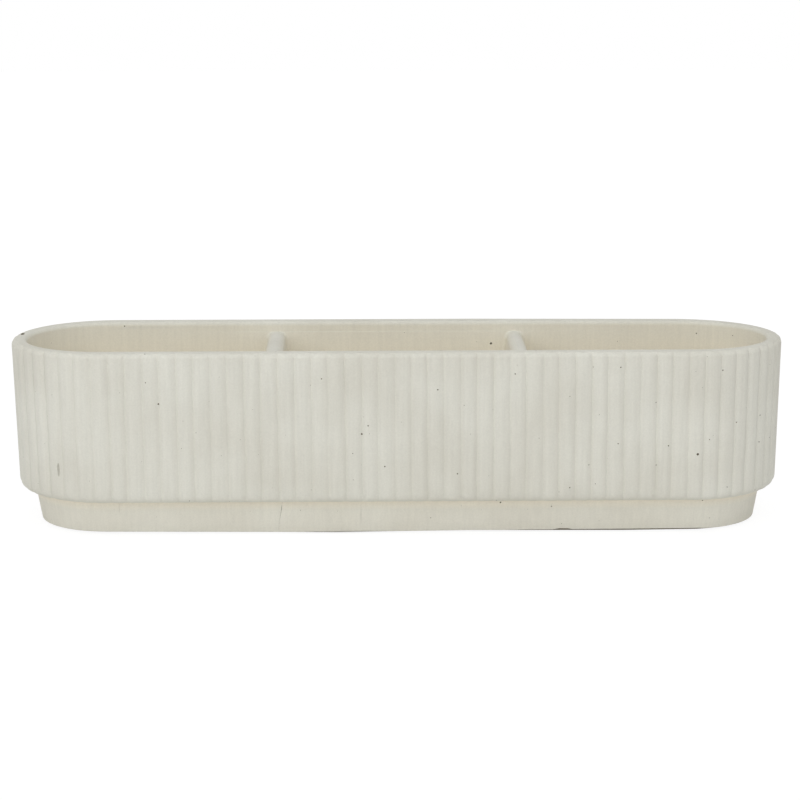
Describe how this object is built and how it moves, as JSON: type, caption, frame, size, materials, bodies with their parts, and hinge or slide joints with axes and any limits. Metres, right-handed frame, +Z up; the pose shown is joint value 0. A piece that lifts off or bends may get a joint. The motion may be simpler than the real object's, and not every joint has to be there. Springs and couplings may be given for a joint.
{
  "type": "concrete planter",
  "caption": "Long cast concrete trough planter with round ends, ribbed wall and recessed foot, parted into compartments with pull-out drain plugs.",
  "frame": {"origin": "middle of the planter, on the surface that it stands on", "axes": "+X along the planter to the right as seen from its front, +Y from the front to the back, +Z up"},
  "size_m": [0.4999, 0.1272, 0.12],
  "materials": {
    "cast_concrete": "off-white cast concrete, matt, with pinholes",
    "plug_rubber": "matt moulded rubber",
    "pad_foam": "dense closed-cell foam, matt"
  },
  "bodies": {
    "casting": {"trough": "cast_concrete", "front_left_pad": "pad_foam", "front_middle_pad": "pad_foam", "front_right_pad": "pad_foam", "back_left_pad": "pad_foam", "back_middle_pad": "pad_foam", "back_right_pad": "pad_foam"},
    "left_plug": {"left_drain_plug": "plug_rubber"},
    "middle_plug": {"middle_drain_plug": "plug_rubber"},
    "right_plug": {"right_drain_plug": "plug_rubber"}
  },
  "joints": [
    {"name": "left_plug_lift", "type": "slide", "parent": "casting", "child": "left_plug", "axis": [0, 0, 1], "range_m": [0, 0.12]},
    {"name": "middle_plug_lift", "type": "slide", "parent": "casting", "child": "middle_plug", "axis": [0, 0, 1], "range_m": [0, 0.12]},
    {"name": "right_plug_lift", "type": "slide", "parent": "casting", "child": "right_plug", "axis": [0, 0, 1], "range_m": [0, 0.12]}
  ]
}
